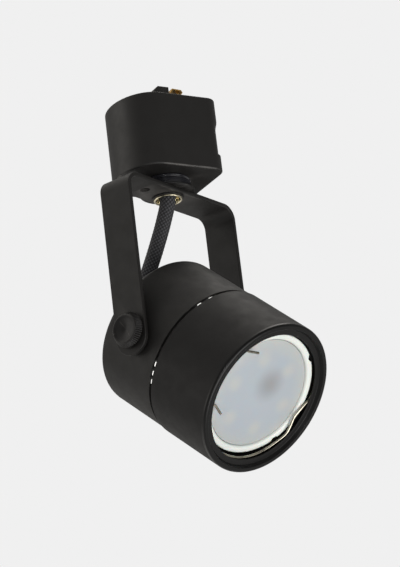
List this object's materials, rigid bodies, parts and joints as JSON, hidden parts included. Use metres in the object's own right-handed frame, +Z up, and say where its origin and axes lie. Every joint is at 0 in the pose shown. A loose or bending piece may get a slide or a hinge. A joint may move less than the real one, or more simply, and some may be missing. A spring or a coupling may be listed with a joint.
{
  "type": "track spotlight",
  "caption": "Black track spotlight: a plug-in track adapter, a swivelling bent-strip yoke and a tilting cylindrical head with a reflector lamp held by a wire ring.",
  "frame": {"origin": "on the pan axis, at the flat top of the contact tower, 8.8 mm above the adapter's top face that seats against the track", "axes": "+Z up along the pan axis, out of the adapter's top; +X along the track, towards the latch"},
  "size_m": [0.0793, 0.0865, 0.164],
  "materials": {
    "black_paint": "fine satin powder coat",
    "black_plastic": "moulded, slight sheen",
    "gloss_black": "polished",
    "brass": "spring brass, bright",
    "nickel": "bright nickel with a warm tint",
    "steel": "zinc plated",
    "black_steel": "blackened, slightly glossy",
    "braid": "woven sleeve",
    "rubber": "matte",
    "white_plastic": "satin white",
    "frosted": "frosted diffuser",
    "white_board": "white solder mask",
    "ceramic": "unglazed steatite",
    "brown_insulation": "sleeved",
    "blue_insulation": "sleeved",
    "green_insulation": "sleeved"
  },
  "bodies": {
    "adapter": {"adapter_housing": "black_plastic", "adapter_cover": "black_plastic", "cover_screw_near": "steel", "cover_screw_far": "steel", "contact_carrier": "black_plastic", "live_contact": "brass", "neutral_contact": "brass", "ground_contact": "brass", "latch_spring": "steel", "live_lead": "brown_insulation", "neutral_lead": "blue_insulation", "ground_lead": "green_insulation", "stem": "nickel", "stem_nut": "steel", "swivel_collar": "gloss_black", "swivel_washer": "black_steel", "lower_washer": "black_steel"},
    "latch": {"latch_tab": "black_plastic"},
    "yoke": {"yoke_bracket": "black_paint", "friction_washer_left": "black_plastic", "friction_washer_right": "black_plastic", "power_cable": "braid"},
    "head": {"rear_cup": "black_paint", "front_barrel": "black_paint", "vent_ring": "black_paint", "retaining_ring": "nickel", "cable_grommet": "rubber", "lampholder": "ceramic", "lampholder_bracket": "steel", "bracket_screw_left": "steel", "bracket_screw_right": "steel", "weld_nut_left": "steel", "weld_nut_right": "steel", "lamp_lead_live": "brown_insulation", "lamp_lead_neutral": "blue_insulation"},
    "lamp": {"lamp_housing": "white_plastic", "lamp_base": "white_plastic", "lamp_diffuser": "frosted", "lamp_board": "white_board", "lamp_pin_left": "steel", "lamp_pin_right": "steel"},
    "left_washer": {"thumb_washer_left": "black_steel"},
    "left_screw": {"thumb_screw_left": "black_steel"},
    "right_washer": {"thumb_washer_right": "black_steel"},
    "right_screw": {"thumb_screw_right": "black_steel"}
  },
  "joints": [
    {"name": "latch", "type": "slide", "parent": "adapter", "child": "latch", "axis": [0, 0, -1], "range_m": [0, 0.003], "stiffness_N_per_m": 400, "springref_m": -0.002, "deforming": ["latch_spring"]},
    {"name": "pan", "type": "hinge", "parent": "adapter", "child": "yoke", "pos_m": [0, 0, -0.0463], "axis": [0, 0, 1], "range_deg": [-200, 150]},
    {"name": "tilt", "type": "hinge", "parent": "yoke", "child": "head", "pos_m": [0, 0, -0.1093], "axis": [0.9272, 0.3746, 0], "range_deg": [-60, 50], "deforming": ["power_cable"]},
    {"name": "lamp_twist", "type": "hinge", "parent": "head", "child": "lamp", "pos_m": [0, 0, -0.1093], "axis": [0.2775, -0.6869, -0.6717], "range_deg": [0, 20]},
    {"name": "left_screw_out", "type": "slide", "parent": "head", "child": "left_washer", "axis": [-0.9272, -0.3746, 0], "range_m": [0, 0.0015]},
    {"name": "left_screw_turn", "type": "hinge", "parent": "left_washer", "child": "left_screw", "pos_m": [0, 0, -0.1093], "axis": [-0.9272, -0.3746, 0], "range_deg": [0, 720]},
    {"name": "right_screw_out", "type": "slide", "parent": "head", "child": "right_washer", "axis": [0.9272, 0.3746, 0], "range_m": [0, 0.0015]},
    {"name": "right_screw_turn", "type": "hinge", "parent": "right_washer", "child": "right_screw", "pos_m": [0, 0, -0.1093], "axis": [0.9272, 0.3746, 0], "range_deg": [0, 720]}
  ],
  "couplings": [
    {"joint": "left_screw_out", "follows": "left_screw_turn", "m_per_rad": 0.00011141},
    {"joint": "right_screw_out", "follows": "right_screw_turn", "m_per_rad": 0.00011141}
  ]
}
